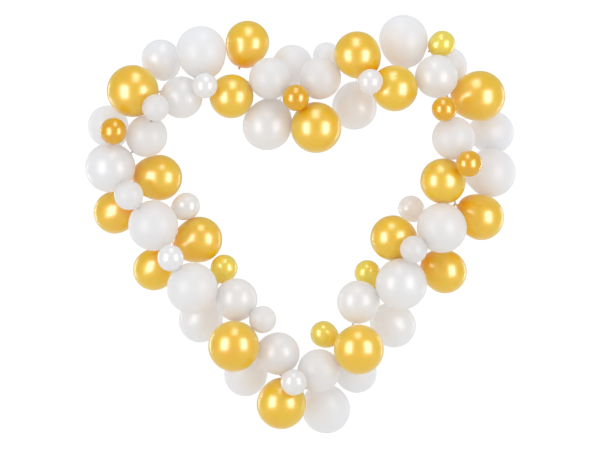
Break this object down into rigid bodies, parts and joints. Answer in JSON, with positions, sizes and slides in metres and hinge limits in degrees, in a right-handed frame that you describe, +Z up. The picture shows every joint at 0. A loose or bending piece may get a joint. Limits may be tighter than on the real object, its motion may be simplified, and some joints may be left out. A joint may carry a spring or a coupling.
{
  "type": "balloon garland",
  "caption": "Heart-shaped garland of gold, white and pearl latex balloons tied to a slim hanging tube frame.",
  "frame": {"origin": "on the heart frame's middle line at the dip between the two lobes, where the garland hangs", "axes": "+Z up; +X to the right as seen from the front; +Y to the back, so the front faces -Y"},
  "size_m": [1.5984, 0.4616, 1.5541],
  "materials": {
    "gold_latex": "inflated latex with a fine metallic gold pearl, satin gloss",
    "deep_gold_latex": "small inflated latex, deeper orange gold, glossy",
    "bright_gold_latex": "small inflated latex, clear yellow gold, glossy",
    "white_latex": "inflated latex, milky white, soft satin",
    "pearl_latex": "inflated latex, pearl white, glossy",
    "clear_pearl_latex": "small inflated latex, thin translucent pearl, glossy",
    "frame_plastic": "clear bent plastic tube, glossy"
  },
  "bodies": {
    "root": {"gold_balloon_01": "gold_latex", "gold_balloon_08": "deep_gold_latex", "gold_balloon_11": "gold_latex", "gold_balloon_13": "gold_latex", "gold_balloon_16": "gold_latex", "gold_balloon_18": "gold_latex", "gold_balloon_20": "bright_gold_latex", "gold_balloon_24": "gold_latex", "gold_balloon_27": "gold_latex", "gold_balloon_32": "gold_latex", "gold_balloon_33": "bright_gold_latex", "gold_balloon_37": "bright_gold_latex", "gold_balloon_39": "gold_latex", "gold_balloon_40": "gold_latex", "gold_balloon_42": "gold_latex", "gold_balloon_43_with_44": "gold_latex", "gold_balloon_48": "gold_latex", "gold_balloon_49": "deep_gold_latex", "gold_balloon_52": "bright_gold_latex", "gold_balloon_54": "gold_latex", "gold_balloon_55": "gold_latex", "gold_balloon_63": "deep_gold_latex", "gold_balloon_64": "gold_latex", "gold_balloon_65": "gold_latex", "gold_balloon_66": "gold_latex", "heart_frame": "frame_plastic", "pearl_balloon_02": "pearl_latex", "pearl_balloon_04_with_05": "pearl_latex", "pearl_balloon_10": "pearl_latex", "pearl_balloon_15": "clear_pearl_latex", "pearl_balloon_21_with_23": "pearl_latex", "pearl_balloon_22": "pearl_latex", "pearl_balloon_25": "pearl_latex", "pearl_balloon_28": "clear_pearl_latex", "pearl_balloon_34": "pearl_latex", "pearl_balloon_35": "pearl_latex", "pearl_balloon_36": "pearl_latex", "pearl_balloon_50": "pearl_latex", "pearl_balloon_56": "clear_pearl_latex", "pearl_balloon_57": "pearl_latex", "pearl_balloon_62": "pearl_latex", "pearl_balloon_67": "clear_pearl_latex", "white_balloon_03": "white_latex", "white_balloon_07": "white_latex", "white_balloon_09_with_06": "white_latex", "white_balloon_14_with_12": "white_latex", "white_balloon_19_with_17": "white_latex", "white_balloon_26": "white_latex", "white_balloon_29": "white_latex", "white_balloon_30": "white_latex", "white_balloon_31": "white_latex", "white_balloon_41_with_38": "white_latex", "white_balloon_45": "white_latex", "white_balloon_46": "white_latex", "white_balloon_47": "white_latex", "white_balloon_51": "white_latex", "white_balloon_53": "white_latex", "white_balloon_59_with_58": "white_latex", "white_balloon_60": "white_latex", "white_balloon_61": "white_latex"}
  },
  "joints": []
}
